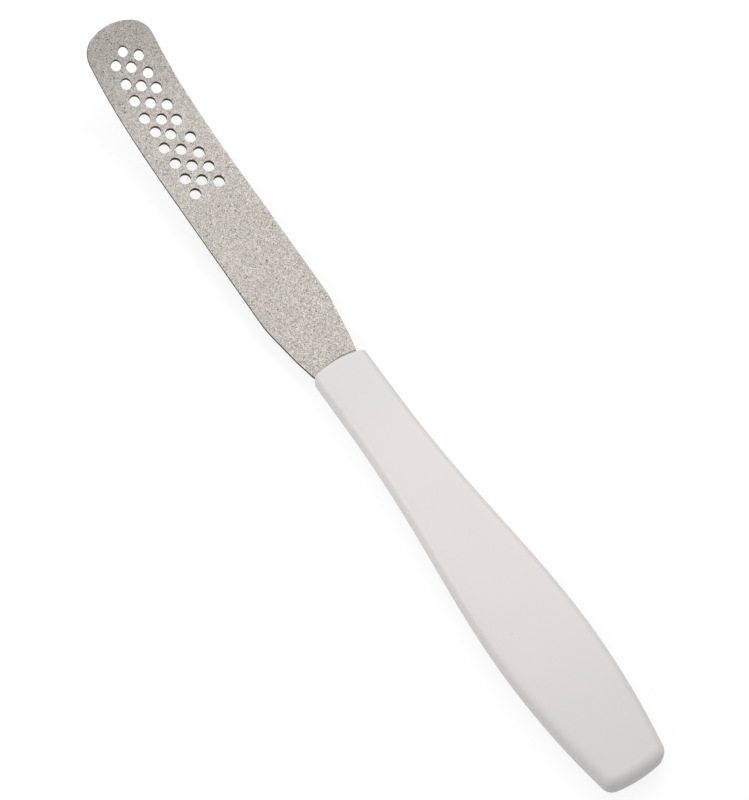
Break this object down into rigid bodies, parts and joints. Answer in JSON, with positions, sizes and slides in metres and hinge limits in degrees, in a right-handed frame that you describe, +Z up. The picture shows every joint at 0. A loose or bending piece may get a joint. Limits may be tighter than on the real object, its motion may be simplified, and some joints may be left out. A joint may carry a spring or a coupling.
{
  "type": "foot file",
  "caption": "Foot file: a perforated steel blade with abrasive coats, turned up towards its rounded tip, in a long moulded handle with a slim waist and a full belly.",
  "frame": {"origin": "on the plane of the handle's flat underside, below the middle of the overall length", "axes": "+X along the file towards the blade's tip, +Z up from the handle's underside to its top face, the way the blade's tip turns"},
  "size_m": [0.2398, 0.024, 0.021],
  "materials": {
    "blade_steel": "stainless strip with sheared edges, bare at its edges, inside the holes and in a narrow band before the handle",
    "abrasive_coat": "grey abrasive grains bonded to the steel, rough and faintly sparkling",
    "handle_plastic": "white moulded plastic with a satin surface"
  },
  "bodies": {
    "root": {"blade": "blade_steel", "coat_top": "abrasive_coat", "coat_bottom": "abrasive_coat", "handle": "handle_plastic"}
  },
  "joints": []
}
